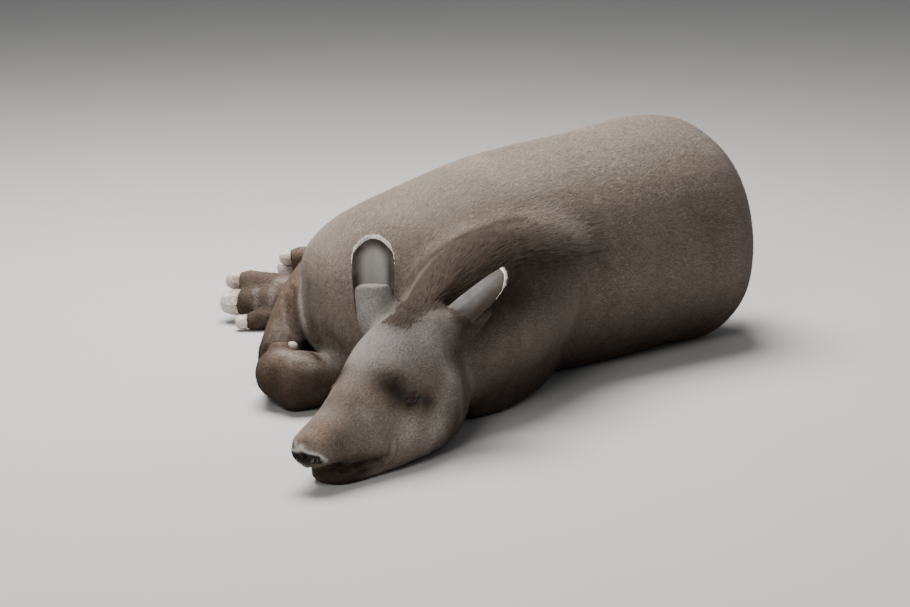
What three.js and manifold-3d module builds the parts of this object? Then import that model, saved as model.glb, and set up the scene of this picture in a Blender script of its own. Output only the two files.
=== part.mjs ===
// A lowland tapir asleep on its left side, life size, in millimetres.
// +X runs from the head to the rump, +Y from the back to the feet, +Z is up.
// The origin is on the floor under the ribs.
// The flesh is lofted through named sections and trimmed flat where it rests on the floor.
// Each part is cut back by the part it grows from, so that the two meet face to face.
import * as THREE from "three";
import { mergeVertices } from "three/addons/utils/BufferGeometryUtils.js";
import Module from "manifold-3d";

// Driving dimensions
const GAP = 0.3; // between neighbouring parts
const HEAD_HEADING = 193.6; // the way the nose points, in degrees from +X towards +Y
const POLL = [-678, -268]; // the floor point under the top of the skull
const EYE = { s: 180, w: 84, h: 138, radius: 14 }; // in the head's own frame
const LID = { long: 25, high: 17, deep: 12, slit: 1.6 };
const MOUTH = { front: 412, corner: 246, h: 47, slit: 3, depth: 9 };
const SNOUT = { aside: -9, reach: 60 }; // the tip bends towards the right
const NOSTRIL = { radius: 7, rim: 10 };
const EAR = { sunk: 22, halfWidth: 44, thick: 5.5, back: 0.6 };
const EAR_ROOT = { radius: 48, top: 45, rise: 20 };
const MANE = {
  rows: [-27, -9, 9, 27], // degrees from the crest line
  from: 0.16, // shares of the length of the neck
  to: 0.8,
  spacing: 66,
  length: 106,
  width: 50,
  thick: 9,
  stand: 12,
  sunk: 12,
  fan: 9, // degrees that the outer locks turn down the sides
  seed: 7,
};

const COAT = 0x6b5f56;
const EAR_SKIN = 0x6f6a66;
const HORN = 0xb8a896;
const EYE_BLACK = 0x14100e;

const wasm = await Module();
wasm.setup();

const vector = ([x, y, z]) => new THREE.Vector3(x, y, z);
const radians = THREE.MathUtils.degToRad;
const curveThrough = (points) => new THREE.CatmullRomCurve3(points, false, "catmullrom", 0.5);

// The dorsal direction of a section whose body is rolled from upright towards -Y
const rolled = (degrees) => [0, -Math.sin(radians(degrees)), Math.cos(radians(degrees))];

// A closed geometry as a solid, its shared corners merged and its faces pointing out
function solidOf(geometry) {
  const bare = geometry.clone();
  bare.deleteAttribute("normal");
  bare.deleteAttribute("uv");
  const merged = mergeVertices(bare, 1e-3);
  const index = merged.index.array;
  const corners = [];
  for (let i = 0; i < index.length; i += 3) {
    const [a, b, c] = index.slice(i, i + 3);
    if (a !== b && b !== c && a !== c) corners.push(a, b, c);
  }
  const build = (order) =>
    new wasm.Manifold(
      new wasm.Mesh({
        numProp: 3,
        vertProperties: new Float32Array(merged.attributes.position.array),
        triVerts: new Uint32Array(order),
      }),
    );
  const made = build(corners);
  return made.volume() > 0 ? made : build(corners.reverse());
}

function geometryOf(solid) {
  const mesh = solid.getMesh();
  const geometry = new THREE.BufferGeometry();
  geometry.setAttribute("position", new THREE.BufferAttribute(mesh.vertProperties, 3));
  geometry.setIndex(new THREE.BufferAttribute(mesh.triVerts, 1));
  return geometry;
}

const fuse = (pieces) => pieces.reduce((whole, piece) => whole.add(piece));
const cutBack = (solid, others) => others.reduce((rest, other) => rest.subtract(other), solid);
const largest = (solid) => solid.decompose().sort((a, b) => b.volume() - a.volume())[0];
const aboveFloor = (solid) => solid.trimByPlane([0, 0, 1], 0);

// A soft swelling or hollow: what lies within reach of its centre is pushed along
function swell(at, reach, push) {
  const centre = vector(at);
  const way = vector(push);
  return (point) => {
    const near = Math.exp(-point.distanceToSquared(centre) / (reach * reach));
    point.addScaledVector(way, near);
  };
}

// The wall that runs through sections, for a share of their length and a turn from the dorsal direction.
// A section has a centre, a dorsal direction, its reach up, down and to each side, and how square it is.
// round draws the wall in towards the centre, as at a rounded end.
function wallThrough(sections, grow = 0) {
  const centre = curveThrough(sections.map((s) => vector(s.at)));
  const dorsal = curveThrough(sections.map((s) => vector(s.up)));
  const reach = curveThrough(sections.map((s) => vector(s.size)));
  const power = curveThrough(sections.map((s) => vector([s.crown ?? 2, s.keel ?? 2, 0])));
  return (t, turn, round = 1) => {
    const [up, down, side] = reach.getPoint(t).toArray();
    const [crown, keel] = power.getPoint(t).toArray();
    const tangent = centre.getTangent(t);
    const dorsalWay = dorsal.getPoint(t);
    dorsalWay.addScaledVector(tangent, -dorsalWay.dot(tangent)).normalize();
    const sideWay = new THREE.Vector3().crossVectors(tangent, dorsalWay);
    const c = Math.cos(turn);
    const s = Math.sin(turn);
    const flat = 2 / (c >= 0 ? crown : keel);
    const lift = Math.sign(c) * Math.abs(c) ** flat * ((c >= 0 ? up : down) + grow) * round;
    const shift = Math.sign(s) * Math.abs(s) ** flat * (side + grow) * round;
    const point = centre.getPoint(t).addScaledVector(dorsalWay, lift).addScaledVector(sideWay, shift);
    return { point, tangent };
  };
}

// A closed form through its sections: the rings of a sphere moved onto them, its poles closing the ends.
// headCap and tailCap are the shares of the length over which each end rounds off.
function loft(sections, { rings, sectors, headCap = 0.08, tailCap = 0.08, grow = 0, swells = [] }) {
  const wall = wallThrough(sections, grow);
  const capRings = Math.max(2, Math.round(rings * 0.12));
  const capShare = capRings / rings;
  const ball = new THREE.SphereGeometry(1, sectors, rings);
  const position = ball.attributes.position;
  for (let i = 0; i < position.count; i++) {
    const along = 1 - ball.attributes.uv.getY(i);
    const around = 2 * Math.PI * ball.attributes.uv.getX(i);
    let t = headCap + ((1 - headCap - tailCap) * (along - capShare)) / (1 - 2 * capShare);
    let round = 1;
    if (along < capShare) {
      const turn = (Math.PI / 2) * (along / capShare);
      t = headCap * (1 - Math.cos(turn));
      round = Math.sin(turn);
    } else if (along > 1 - capShare) {
      const turn = (Math.PI / 2) * ((1 - along) / capShare);
      t = 1 - tailCap * (1 - Math.cos(turn));
      round = Math.sin(turn);
    }
    const { point, tangent } = wall(t, around, round);
    const outward = (along < 0.5 ? -1 : 1) * grow * Math.sqrt(1 - round * round);
    point.addScaledVector(tangent, outward);
    for (const push of swells) push(point);
    position.setXYZ(i, point.x, point.y, point.z);
  }
  return solidOf(ball);
}

// Where the trunk leaves its sections: what the hip, the thighs and the belly do to it
const TRUNK_SHAPE = {
  hip_below: { at: [500, -150, 90], reach: 150, push: [32, -26, -12] },
  haunch: { at: [400, 170, 380], reach: 140, push: [10, 26, 8] },
  buttock: { at: [560, 80, 250], reach: 130, push: [22, 20, 0] },
  cleft: { at: [585, -30, 225], reach: 60, push: [-16, 4, 0] },
  flank: { at: [150, 200, 380], reach: 120, push: [0, -26, -18] },
  belly: { at: [-60, 270, 150], reach: 170, push: [0, 16, -10] },
  armpit: { at: [-450, 262, 75], reach: 92, push: [0, 54, 10] },
  breast: { at: [-560, 185, 130], reach: 70, push: [-8, 16, 0] },
};

// The trunk, from the brisket to the rump, with the haunch on top
function trunk(grow = 0) {
  const section = (at, roll, size) => ({ at, up: rolled(roll), size });
  return loft(
    [
      section([-562, 165, 140], 46, [110, 120, 112]),
      section([-470, 115, 180], 50, [195, 200, 190]),
      section([-330, 68, 208], 56, [245, 250, 220]),
      section([-170, 38, 219], 62, [266, 276, 250]),
      section([0, 26, 223], 66, [272, 280, 263]),
      section([155, 18, 229], 69, [278, 272, 267]),
      section([300, 5, 238], 72, [280, 252, 265]),
      section([425, -15, 241], 74, [266, 217, 258]),
      section([550, -38, 232], 75, [200, 160, 196]),
    ],
    {
      rings: 30,
      sectors: 32,
      headCap: 0.08,
      tailCap: 0.13,
      grow,
      swells: Object.values(TRUNK_SHAPE).map(({ at, reach, push }) => swell(at, reach, push)),
    },
  );
}

// The left shoulder and upper arm, pressed out over the floor under the neck
function shoulder(grow = 0) {
  const section = (at, roll, size) => ({ at, up: rolled(roll), size, keel: 2.6 });
  return loft(
    [
      section([-550, -140, 50], 12, [90, 80, 96]),
      section([-440, -150, 60], 18, [125, 90, 116]),
      section([-310, -105, 75], 28, [170, 105, 130]),
      section([-180, -50, 90], 40, [200, 120, 128]),
      section([-70, 20, 110], 50, [190, 130, 122]),
    ],
    { rings: 14, sectors: 20, headCap: 0.12, tailCap: 0.16, grow },
  );
}

// The neck, from inside the skull to inside the shoulders, with its high crest
const neckSections = [
  [[-715, -275, 140], 0, [125, 115, 80]],
  [[-620, -250, 160], 6, [160, 135, 92]],
  [[-510, -208, 178], 18, [190, 160, 128]],
  [[-400, -160, 190], 34, [207, 190, 160]],
  [[-290, -104, 200], 48, [216, 205, 172]],
  [[-165, -48, 207], 58, [219, 198, 168]],
  [[-60, -8, 212], 62, [216, 198, 166]],
].map(([at, roll, size]) => ({ at, up: rolled(roll), size, crown: 1.75 }));
const neck = () => loft(neckSections, { rings: 20, sectors: 28 });

// One lock of the mane: flat and tapered, rooted under the skin and bent back along the wall it stands on
function lock(wall, { from, length, turn, fan, width }) {
  const stations = [
    { share: 0, height: -MANE.sunk, breadth: 0.7 },
    { share: 0.3, height: MANE.stand * 0.6, breadth: 1 },
    { share: 0.65, height: MANE.stand, breadth: 0.8 },
    { share: 1, height: MANE.stand * 0.7, breadth: 0.2 },
  ];
  const sections = stations.map(({ share, height, breadth }) => {
    const t = from + length * share;
    const angle = turn + fan * share;
    const { point } = wall(t, angle);
    const out = point.clone().sub(wall(t, angle, 0).point).normalize();
    const thick = (MANE.thick / 2) * (1 - 0.6 * share);
    return {
      at: point.addScaledVector(out, height).toArray(),
      up: out.toArray(),
      size: [thick, thick, (width / 2) * breadth],
    };
  });
  return loft(sections, { rings: 5, sectors: 5, headCap: 0.04, tailCap: 0.04 });
}

// Staggered rows of locks along the crest of the neck, those beside it fanned out down the sides
function mane() {
  const draw = THREE.MathUtils.seededRandom;
  const vary = (share) => 1 + share * (2 * draw() - 1);
  const wall = wallThrough(neckSections);
  const long = curveThrough(neckSections.map((s) => vector(s.at))).getLength();
  const count = Math.round(((MANE.to - MANE.from) * long) / MANE.spacing);
  draw(MANE.seed);
  return MANE.rows.flatMap((row, k) =>
    Array.from({ length: count }, (_, i) =>
      lock(wall, {
        from: THREE.MathUtils.lerp(MANE.from, MANE.to, (i + 0.5 * (k % 2)) / count),
        length: (MANE.length / long) * vary(0.15),
        turn: radians(row * vary(0.1)),
        fan: Math.sign(row) * radians(MANE.fan) * vary(0.5),
        width: MANE.width * vary(0.15),
      }),
    ),
  );
}

// The head has its own frame: forward to the nose, left, and up from the floor under the poll
const headFrame = new THREE.Matrix4()
  .makeTranslation(POLL[0], POLL[1], 0)
  .multiply(new THREE.Matrix4().makeRotationZ(radians(HEAD_HEADING)));
const inHead = (s, w, h) => new THREE.Vector3(s, w, h).applyMatrix4(headFrame).toArray();
const headPush = (s, w, h) => {
  const way = new THREE.Vector3(s, w, h);
  return way.clone().transformDirection(headFrame).multiplyScalar(way.length()).toArray();
};

// The cranium and the upper snout, which overhangs the lower lip
function skull(grow = 0) {
  const section = (s, top, middle, bottom, half, crown = 2, keel = 2.3) => ({
    at: inHead(s, 0, middle),
    up: [0, 0, 1],
    size: [top - middle, middle - bottom, half],
    crown,
    keel,
  });
  const bothSides = [-1, 1].flatMap((side) => [
    swell(inHead(190, side * 92, 162), 26, headPush(0, -side * 12, -4)),
    swell(inHead(150, side * 96, 100), 40, headPush(0, side * 7, 0)),
    swell(inHead(60, side * 95, 55), 60, headPush(-6, side * 12, 0)),
    swell(inHead(395, side * 40, 95), 22, headPush(0, side * 3, 2)),
  ]);
  const bend = swell(inHead(430, 0, 85), SNOUT.reach, headPush(0, SNOUT.aside, 0));
  return loft(
    [
      section(-80, 245, 140, 45, 72),
      section(-22, 282, 122, 6, 96, 1.8, 2.6),
      section(45, 284, 112, -6, 104, 1.8, 2.9),
      section(110, 266, 100, -8, 104, 1.9, 3.2),
      section(170, 235, 90, -8, 98, 1.85, 3.2),
      section(230, 200, 82, 0, 83, 1.85, 3),
      section(290, 168, 82, 18, 67, 1.9, 2.6),
      section(345, 142, 84, 36, 54),
      section(392, 124, 80, 42, 43),
      section(428, 108, 79, 48, 33),
    ],
    { rings: 32, sectors: 28, headCap: 0.07, tailCap: 0.03, grow, swells: [...bothSides, bend] },
  );
}

function jaw(grow = 0) {
  const section = (s, top, bottom, half) => ({
    at: inHead(s, 0, (top + bottom) / 2),
    up: [0, 0, 1],
    size: [(top - bottom) / 2, (top - bottom) / 2, half],
    keel: 2.8,
  });
  return loft(
    [
      section(10, 150, -8, 90),
      section(110, 150, -8, 110),
      section(205, 90, -8, 89),
      section(280, 54, -7, 63),
      section(328, 46, -6, 50),
      section(370, 42, 2, 33),
    ],
    { rings: 14, sectors: 18, grow },
  );
}

// Where each ear stands, the way it rises and the way its cup opens
const earPlaces = {
  right: {
    foot: [30, -66, 205],
    root: [-711, -172, 272],
    tip: [-688, -148, 404],
    mouth: [-0.75, -0.62, 0.1],
  },
  left: {
    foot: [20, 60, 205],
    root: [-648, -331, 260],
    tip: [-562, -384, 352],
    mouth: [0.82, -0.46, -0.28],
  },
};

// The cone of flesh that carries an ear
function earRoot({ foot, root, tip }, grow = 0) {
  const from = vector(inHead(...foot));
  const rise = vector(tip).sub(vector(root)).setLength(EAR_ROOT.rise);
  const to = vector(root).add(rise);
  const sizes = [EAR_ROOT.radius, (EAR_ROOT.radius + EAR_ROOT.top) / 2, EAR_ROOT.top];
  return loft(
    sizes.map((radius, i) => ({
      at: from.clone().lerp(to, i / 2).toArray(),
      up: headPush(1, 0, 0),
      size: [radius, radius, radius],
    })),
    { rings: 8, sectors: 14, headCap: 0.3, tailCap: 0.3, grow },
  );
}

// An ear: a leaf whose sections are arcs, nearly a tube at the root and open at the tip
function ear({ root, tip, mouth }) {
  const up = vector(tip).sub(vector(root));
  const length = up.length();
  up.normalize();
  const front = vector(mouth);
  front.addScaledVector(up, -front.dot(up)).normalize();
  const across = new THREE.Vector3().crossVectors(up, front);
  const ball = new THREE.SphereGeometry(1, 16, 12);
  const position = ball.attributes.position;
  for (let i = 0; i < position.count; i++) {
    const [x, y, z] = [position.getX(i), position.getY(i), position.getZ(i)];
    const ring = Math.max(1e-6, Math.hypot(x, z));
    const share = (1 - y) / 2;
    const turn = x / ring;
    const skin = Math.sign(z) * Math.sqrt(Math.abs(z / ring));
    const open = THREE.MathUtils.lerp(1.75, 0.85, Math.min(1, share * 1.3));
    const breadth = 1.3 - 0.3 * share + 0.1 * Math.sin(Math.PI * share);
    const halfArc = EAR.halfWidth * breadth * Math.min(1, ring * (share < 0.5 ? 2 : 1.2) + 0.02);
    const bend = halfArc / open;
    const thick = EAR.thick * 0.5 * (1 - 0.35 * share) * skin * Math.min(1, ring * 3);
    const radius = bend - thick;
    const back = EAR.halfWidth * EAR.back * (1 - share);
    const point = vector(root)
      .addScaledVector(up, -EAR.sunk + (length + EAR.sunk) * share)
      .addScaledVector(across, radius * Math.sin(turn * open))
      .addScaledVector(front, bend - radius * Math.cos(turn * open) - back);
    position.setXYZ(i, point.x, point.y, point.z);
  }
  return solidOf(ball);
}

// The hollow of the neck that the back of an ear lies in
function earHollow({ root, tip, mouth }) {
  const from = vector(root);
  const sections = [-0.4, 0.2, 0.7, 1.15].map((share) => ({
    at: from.clone().lerp(vector(tip), share).toArray(),
    up: mouth,
    size: [EAR.halfWidth, EAR.halfWidth, EAR.halfWidth * 1.2],
  }));
  return loft(sections, { rings: 10, sectors: 14, headCap: 0.15, tailCap: 0.15 });
}

// A lens that lies on the side of the head along the eye's slant
function eyeLens(side, [long, high, deep], sink = 0) {
  const { s, w, h } = EYE;
  return loft(
    [-1, 0, 1].map((end) => ({
      at: inHead(s + end * long, side * (w - sink - Math.abs(end) * 4), h - end * 5),
      up: [0, 0, 1],
      size: [high, high, deep],
    })),
    { rings: 8, sectors: 10, headCap: 0.5, tailCap: 0.5 },
  );
}
const lids = (side) => eyeLens(side, [LID.long, LID.high, LID.deep]);
const lidSlit = (side) => eyeLens(side, [LID.long * 0.72, LID.slit, LID.deep + 3], -6);
const eyeball = (side, grow = 0) =>
  solidOf(
    new THREE.SphereGeometry(EYE.radius + grow, 12, 8).translate(
      ...inHead(EYE.s, side * (EYE.w - 4), EYE.h),
    ),
  );

// The slit of the mouth, as deep as the lips, from the front round to both corners
function mouthSlit() {
  const line = new THREE.CatmullRomCurve3([
    new THREE.Vector3(MOUTH.front + 20, MOUTH.h - 5, 0),
    new THREE.Vector3(370, MOUTH.h - 1, 0),
    new THREE.Vector3(310, MOUTH.h - 2, 0),
    new THREE.Vector3(270, MOUTH.h + 1, 0),
    new THREE.Vector3(MOUTH.corner, MOUTH.h - 6, 0),
  ]);
  const points = line.getPoints(8);
  const edge = (way) => points.map((p) => new THREE.Vector2(p.x, p.y + (way * MOUTH.slit) / 2));
  const band = new THREE.Shape([...edge(1), ...edge(-1).reverse()]);
  const across = new THREE.ExtrudeGeometry(band, { depth: 160, steps: 1, bevelEnabled: false });
  across.translate(0, 0, -80).rotateX(Math.PI / 2).applyMatrix4(headFrame);
  const halves = [
    [200, 66],
    [290, 56],
    [350, 46],
    [395, 32],
  ];
  const inside = loft(
    halves.map(([s, half]) => ({
      at: inHead(s, 0, MOUTH.h),
      up: [0, 0, 1],
      size: [30, 30, half - MOUTH.depth],
    })),
    { rings: 10, sectors: 12 },
  );
  return solidOf(across).subtract(inside);
}

// A nostril bends from the front of the snout round its lower corner
function nostril(side, radius) {
  const bend = [
    [424, 4, 78],
    [422, 13, 68],
    [414, 25, 63],
    [404, 36, 66],
  ];
  return loft(
    bend.map(([s, w, h]) => ({
      at: inHead(s, side * w + SNOUT.aside, h),
      up: headPush(1, 0, 0),
      size: [radius, radius, radius * 0.75],
    })),
    { rings: 8, sectors: 10, headCap: 0.2, tailCap: 0.2 },
  );
}

// A limb or a toe through its joints, each with its place and its thickness
function limb(joints, { grow = 0, rings = 14, sectors = 12, caps = 0.1 } = {}) {
  return loft(
    joints.map(([at, thick, wide = thick]) => ({ at, up: [0, 0, 1], size: [thick, thick, wide] })),
    { rings, sectors, headCap: caps, tailCap: caps, grow },
  );
}

// Each leg in one or two lengths from inside the body down to the foot, then each toe from knuckle to tip
const legs = {
  fore_right: {
    lengths: [
      [
        [[-310, 225, 245], 105, 115],
        [[-322, 312, 208], 84, 92],
        [[-378, 350, 162], 64, 66],
        [[-465, 325, 112], 49, 51],
        [[-530, 288, 72], 48, 50],
        [[-562, 268, 46], 48, 50],
      ],
      [
        [[-572, 270, 46], 40, 44],
        [[-500, 310, 38], 42, 44],
        [[-430, 332, 36], 38, 42],
      ],
    ],
    toes: [
      [[-450, 330, 36], [-360, 350, 22], 25],
      [[-450, 312, 36], [-372, 296, 17], 20],
      [[-455, 350, 44], [-384, 400, 34], 19],
      [[-470, 362, 62], [-420, 410, 70], 14],
    ],
  },
  fore_left: {
    lengths: [
      [
        [[-400, 150, 56], 60, 68],
        [[-500, 116, 50], 50, 58],
        [[-585, 80, 50], 50, 58],
        [[-664, 86, 61], 64, 66],
        [[-726, 112, 60], 60, 62],
      ],
      [
        [[-704, 92, 62], 46, 50],
        [[-680, 134, 68], 56, 56],
        [[-640, 178, 60], 44, 48],
        [[-606, 200, 52], 38, 44],
      ],
    ],
    toes: [
      [[-640, 180, 60], [-548, 198, 56], 21],
      [[-642, 184, 48], [-556, 232, 38], 23],
      [[-648, 192, 38], [-590, 254, 24], 19],
      [[-642, 188, 102], [-608, 156, 113], 13],
    ],
  },
  hind_right: {
    lengths: [
      [
        [[410, 20, 290], 175, 190],
        [[325, 160, 300], 158, 176],
        [[235, 275, 288], 116, 134],
        [[190, 372, 248], 82, 96],
        [[176, 470, 200], 54, 62],
        [[130, 548, 166], 47, 54],
        [[70, 625, 146], 40, 45],
        [[6, 700, 126], 46, 50],
        [[-30, 748, 114], 40, 44],
      ],
      [
        [[204, 448, 208], 30, 32],
        [[182, 530, 180], 35, 35],
        [[124, 600, 154], 30, 31],
      ],
    ],
    toes: [
      [[20, 680, 126], [-66, 792, 98], 25],
      [[15, 665, 142], [-86, 764, 134], 19],
      [[40, 705, 108], [0, 806, 76], 20],
    ],
  },
  hind_left: {
    lengths: [
      [
        [[360, 20, 128], 128, 140],
        [[262, 170, 120], 118, 130],
        [[165, 278, 102], 96, 110],
        [[115, 385, 80], 70, 82],
        [[82, 482, 62], 50, 58],
        [[22, 552, 54], 47, 54],
        [[-70, 610, 50], 43, 49],
        [[-152, 664, 53], 51, 57],
        [[-200, 728, 56], 44, 54],
      ],
      [
        [[110, 472, 62], 32, 34],
        [[62, 574, 56], 36, 34],
        [[-18, 614, 52], 30, 31],
      ],
    ],
    toes: [
      [[-160, 650, 54], [-242, 800, 45], 31],
      [[-140, 682, 84], [-207, 818, 93], 24],
      [[-180, 625, 32], [-288, 702, 18], 18],
    ],
  },
};

// A place on a toe, so many of its thicknesses back from the tip
function backFromTip([knuckle, tip, radius], thicknesses) {
  const back = vector(knuckle).sub(vector(tip)).setLength(thicknesses * radius);
  return vector(tip).add(back).toArray();
}

// A toe swells at the knuckle and in the pad behind the hoof, and ends inside the hoof
function toe(each, grow = 0) {
  const [knuckle, tip, radius] = each;
  return limb(
    [
      [vector(knuckle).lerp(vector(tip), -0.35).toArray(), radius * 1.15],
      [knuckle, radius * 1.38],
      [backFromTip(each, 2.6), radius * 1.2],
      [backFromTip(each, 1.9), radius * 1.06],
      [backFromTip(each, 1.2), radius * 0.66],
    ],
    { grow, rings: 8, sectors: 8, caps: 0.12 },
  );
}

function leg({ lengths, toes }, grow = 0) {
  const bones = lengths.map((joints) => limb(joints, { grow, rings: joints.length + 5 }));
  return fuse([...bones, ...toes.map((each) => toe(each, grow))]);
}

// A hoof caps the end of its toe
function hoof(each, grow = 0) {
  const radius = each[2];
  return limb(
    [
      [backFromTip(each, 2.2), radius * 0.84],
      [backFromTip(each, 1.5), radius],
      [backFromTip(each, 0.7), radius * 0.97],
      [backFromTip(each, 0), radius * 0.66],
    ],
    { grow, rings: 6, sectors: 8, caps: 0.16 },
  );
}

function tail(grow = 0) {
  return limb(
    [
      [[520, -120, 268], 34],
      [[566, -92, 236], 27],
      [[596, -58, 200], 18],
      [[604, -38, 180], 10],
    ],
    { grow, rings: 10, sectors: 12, caps: 0.12 },
  );
}

// The parts, each cut back by what it grows from
const torsoForm = (grow) => fuse([trunk(grow), shoulder(grow)]);
const headForm = (grow) =>
  fuse([skull(grow), jaw(grow), earRoot(earPlaces.right, grow), earRoot(earPlaces.left, grow)]);

const part = new THREE.Group();
function show(name, solid, colour, roughness = 0.9) {
  const material = new THREE.MeshStandardMaterial({ color: colour, roughness, metalness: 0 });
  const mesh = new THREE.Mesh(geometryOf(largest(aboveFloor(solid))), material);
  mesh.name = name;
  part.add(mesh);
}

const torsoGrown = torsoForm(GAP);
const headGrown = headForm(GAP);
const bothSides = [1, -1];
const nostrilRims = bothSides.map((side) => nostril(side, NOSTRIL.rim));
const headWhole = fuse([headForm(0), ...bothSides.map(lids), ...nostrilRims]);
const headOpenings = [
  mouthSlit(),
  ...bothSides.map(lidSlit),
  ...bothSides.map((side) => eyeball(side, GAP)),
  ...bothSides.map((side) => nostril(side, NOSTRIL.radius)),
];
show("torso", torsoForm(0), COAT);
const hollows = Object.values(earPlaces).map(earHollow);
show("neck", cutBack(fuse([neck(), ...mane()]), [torsoGrown, headGrown, ...hollows]), COAT);
show("head", cutBack(headWhole, headOpenings), COAT);
for (const side of ["right", "left"]) {
  show(`ear_${side}`, cutBack(ear(earPlaces[side]), [headGrown]), EAR_SKIN);
  show(`eye_${side}`, eyeball(side === "left" ? 1 : -1), EYE_BLACK, 0.15);
}
show("tail", cutBack(tail(), [torsoGrown]), COAT);
const upperThigh = leg(legs.hind_right, GAP);
for (const [name, form] of Object.entries(legs)) {
  const against = name === "hind_left" ? [torsoGrown, upperThigh] : [torsoGrown];
  show(`leg_${name}`, cutBack(leg(form), against), COAT);
  const clear = [leg(form, GAP)];
  form.toes.forEach((each, i) => {
    show(`hoof_${name}_${i + 1}`, cutBack(hoof(each), clear), HORN, 0.5);
    clear.push(hoof(each, GAP));
  });
}

export default part;
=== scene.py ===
"""A lowland tapir asleep on its left side: the looks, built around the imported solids, in metres."""

import math

import bmesh
import bpy
import numpy as np
from mathutils import Euler, Matrix, Vector
from mathutils.bvhtree import BVHTree


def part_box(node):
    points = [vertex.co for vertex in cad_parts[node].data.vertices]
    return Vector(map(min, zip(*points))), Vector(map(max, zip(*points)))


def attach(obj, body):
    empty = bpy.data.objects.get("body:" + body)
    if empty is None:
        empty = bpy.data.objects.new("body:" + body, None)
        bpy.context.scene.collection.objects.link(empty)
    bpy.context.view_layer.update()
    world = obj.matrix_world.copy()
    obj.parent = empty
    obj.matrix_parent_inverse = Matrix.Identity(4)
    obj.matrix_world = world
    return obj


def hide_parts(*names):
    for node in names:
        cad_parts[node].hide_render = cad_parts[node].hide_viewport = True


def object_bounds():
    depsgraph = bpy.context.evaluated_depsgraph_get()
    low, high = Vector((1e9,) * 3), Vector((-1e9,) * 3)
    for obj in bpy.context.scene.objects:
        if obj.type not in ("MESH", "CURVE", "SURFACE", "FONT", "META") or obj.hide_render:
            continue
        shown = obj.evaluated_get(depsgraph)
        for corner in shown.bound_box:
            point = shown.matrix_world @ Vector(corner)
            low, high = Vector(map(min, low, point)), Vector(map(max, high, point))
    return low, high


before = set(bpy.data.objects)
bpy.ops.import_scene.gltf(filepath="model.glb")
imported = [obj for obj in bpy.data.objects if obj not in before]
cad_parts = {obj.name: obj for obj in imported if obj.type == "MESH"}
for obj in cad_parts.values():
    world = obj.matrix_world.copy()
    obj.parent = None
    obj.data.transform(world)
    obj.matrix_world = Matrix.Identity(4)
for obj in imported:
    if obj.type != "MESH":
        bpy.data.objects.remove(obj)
cad_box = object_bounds()

# The photograph: its size in pixels, and its camera in the frame of the part
PHOTO = (910, 607)
CAMERA_PLACE = Vector((-4.602, -4.021, 1.520))
CAMERA_HEADING = -47.0
CAMERA_TILT = 12.85
CAMERA_TURN = Euler((math.radians(90 - CAMERA_TILT), 0, math.radians(CAMERA_HEADING)))
LENS = 111.4
SENSOR = 36.0

# The head's own frame: forward to the nose, left, and up from the floor under the poll
HEAD_FRAME = Matrix.Translation((-0.678, -0.268, 0)) @ Matrix.Rotation(math.radians(193.6), 4, "Z")

# The line of the crest, from between the ears to the withers
CREST = [
    (-0.700, -0.272, 0.285),
    (-0.620, -0.267, 0.319),
    (-0.510, -0.267, 0.359),
    (-0.400, -0.276, 0.362),
    (-0.290, -0.265, 0.345),
    (-0.165, -0.234, 0.323),
    (-0.060, -0.199, 0.313),
]

LIMBS = ["leg_fore_left", "leg_fore_right", "leg_hind_left", "leg_hind_right"]
FLESH = ["torso", "neck", "head", "tail", *LIMBS]
VOXEL = 0.0078
JOIN = 0.0005  # pushes the flesh out so that its parts run together
COAT_DEPTH = 0.0022  # how far the skin lies inside the solids
TOE_PUSH = 0.0015  # what a toe's skin wins back beside its hoof
SKIN_FLOOR = 0.0006  # the skin's lowest places
BEHIND = 0.16  # a line seen from the camera leaves out what lies this far behind its nearest place
UNWRAP_ANGLE = math.radians(66)
SKIN_MARGIN = 0.0006  # between the islands of the skin's map
FAR = 1e9
SEED = 11


def head(s, w, h):
    """A place on the head, from its own frame"""
    return HEAD_FRAME @ Vector((s, w, h))


def sight(pixel):
    """The direction from the camera through a pixel of the photograph"""
    x = (pixel[0] - PHOTO[0] / 2) / PHOTO[0] * SENSOR / LENS
    y = (PHOTO[1] / 2 - pixel[1]) / PHOTO[0] * SENSOR / LENS
    return (CAMERA_TURN.to_matrix() @ Vector((x, y, -1))).normalized()


def add_camera():
    data = bpy.data.cameras.new("camera")
    data.lens = LENS
    data.sensor_width = SENSOR
    data.clip_end = 100
    camera = shown("camera", data)
    camera.location = CAMERA_PLACE
    camera.rotation_euler = CAMERA_TURN
    bpy.context.scene.camera = camera


def add_light(name, place, aim, size, power, colour):
    data = bpy.data.lights.new(name, "AREA")
    data.shape = "DISK"
    data.size = size
    data.energy = power
    data.color = colour
    light = shown(name, data)
    light.location = place
    light.rotation_euler = (Vector(aim) - Vector(place)).to_track_quat("-Z", "Y").to_euler()


def shown(name, data):
    """A new object of the scene: a mesh, a camera or a light"""
    made = bpy.data.objects.new(name, data)
    bpy.context.scene.collection.objects.link(made)
    return made


def mesh_of(bm, name):
    mesh = bpy.data.meshes.new(name)
    bm.to_mesh(mesh)
    bm.free()
    return mesh


class Value:
    """A number from a node, so that maths on it is written as maths"""

    def __init__(self, tree, socket):
        self.tree = tree
        self.socket = socket

    def maths(self, operation, *inputs):
        node = self.tree.nodes.new("ShaderNodeMath")
        node.operation = operation
        for slot, value in zip(node.inputs, inputs):
            if isinstance(value, Value):
                self.tree.links.new(value.socket, slot)
            else:
                slot.default_value = value
        return Value(self.tree, node.outputs[0])

    def __add__(self, other):
        return self.maths("ADD", self, other)

    def __rsub__(self, other):
        return self.maths("SUBTRACT", other, self)

    def __mul__(self, other):
        return self.maths("MULTIPLY", self, other)

    def up_to(self, other):
        return self.maths("MINIMUM", self, other)


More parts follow.
